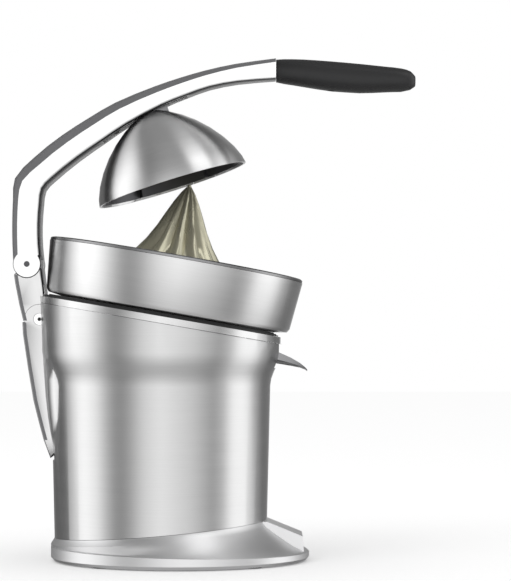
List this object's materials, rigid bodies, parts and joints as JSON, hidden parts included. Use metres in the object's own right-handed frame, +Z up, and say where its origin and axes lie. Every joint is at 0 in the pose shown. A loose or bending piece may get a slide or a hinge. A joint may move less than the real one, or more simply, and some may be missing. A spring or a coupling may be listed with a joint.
{
  "type": "lever citrus press",
  "caption": "Motor-driven citrus press with a steel drum body, a tilted juice bowl with strainer and reamer, a drip-stop spout and a lever that lowers a dome.",
  "frame": {"origin": "on the drum's axis, at the height of the table it stands on", "axes": "+Z up, +X towards the spout, +Y towards the far side in the picture"},
  "size_m": [0.3371, 0.215, 0.4201],
  "materials": {
    "brushed_steel": "fine brushing, satin",
    "cast_metal": "smooth satin casting",
    "dark_metal": "dark satin",
    "polished_metal": "polished",
    "gear_plastic": "moulded",
    "black_plastic": "moulded, matt",
    "rubber": "soft touch, matt",
    "bronze": "sintered"
  },
  "bodies": {
    "base": {"body_shell": "brushed_steel", "collar": "cast_metal", "deck": "dark_metal", "base": "cast_metal", "base_cover": "black_plastic", "foot_front_left": "rubber", "foot_front_right": "rubber", "foot_rear_left": "rubber", "foot_rear_right": "rubber", "rear_frame": "dark_metal", "cord_gland": "black_plastic", "arm_bracket": "cast_metal", "arm_post": "cast_metal", "clamp_bolt": "dark_metal", "clamp_nut": "dark_metal", "hinge_pin": "dark_metal", "juice_bowl": "brushed_steel", "juice_tray": "cast_metal", "bowl_outlet": "cast_metal", "strainer": "brushed_steel", "strainer_rim": "brushed_steel", "upper_bush": "bronze", "lower_bush": "bronze", "shaft_seal": "rubber", "idler_axle": "polished_metal", "motor": "dark_metal", "gear_case": "black_plastic", "start_switch": "black_plastic", "spout_pin": "polished_metal"},
    "lever": {"lever_arm": "cast_metal", "grip": "rubber", "grip_screw": "dark_metal", "dome_pin": "dark_metal", "dome_bumper": "rubber"},
    "dome": {"dome": "brushed_steel", "dome_liner": "dark_metal", "dome_saddle": "cast_metal"},
    "plunger": {"switch_button": "rubber"},
    "reamer": {"reamer": "polished_metal", "spindle": "polished_metal", "drive_key": "dark_metal"},
    "output_wheel": {"output_gear": "gear_plastic"},
    "idler_wheel": {"idler_gear": "gear_plastic"},
    "rotor": {"motor_shaft": "polished_metal", "motor_pinion": "bronze"},
    "spout": {"spout": "polished_metal"}
  },
  "joints": [
    {"name": "lever_hinge", "type": "hinge", "parent": "base", "child": "lever", "pos_m": [-0.1107, 0, 0.2471], "axis": [0, 1, 0], "range_deg": [-35, 19]},
    {"name": "dome_tilt", "type": "hinge", "parent": "lever", "child": "dome", "pos_m": [-0.0111, 0, 0.3809], "axis": [0, 1, 0], "range_deg": [-5, 7.3]},
    {"name": "press_stroke", "type": "slide", "parent": "base", "child": "plunger", "axis": [-0.1702, 0, -0.9854], "range_m": [0, 0.003], "stiffness_N_per_m": 6000, "springref_m": -0.003},
    {"name": "reamer_spin", "type": "hinge", "parent": "plunger", "child": "reamer", "pos_m": [0, 0, 0.175], "axis": [0.1702, 0, 0.9854], "continuous": true},
    {"name": "output_spin", "type": "hinge", "parent": "base", "child": "output_wheel", "pos_m": [0, 0, 0.175], "axis": [0.1702, 0, 0.9854], "continuous": true},
    {"name": "idler_spin", "type": "hinge", "parent": "base", "child": "idler_wheel", "pos_m": [0.01921, 0.03377, 0.17168], "axis": [0.1702, 0, 0.9854], "continuous": true},
    {"name": "rotor_spin", "type": "hinge", "parent": "base", "child": "rotor", "pos_m": [0.04139, 0.00964, 0.16785], "axis": [0.1702, 0, 0.9854], "continuous": true},
    {"name": "spout_lift", "type": "hinge", "parent": "base", "child": "spout", "pos_m": [0.091, 0, 0.172], "axis": [0, 1, 0], "range_deg": [-25, 0]}
  ],
  "couplings": [
    {"joint": "output_spin", "follows": "reamer_spin", "ratio": 1},
    {"joint": "idler_spin", "follows": "reamer_spin", "ratio": -4.2},
    {"joint": "rotor_spin", "follows": "reamer_spin", "ratio": 18.9}
  ]
}
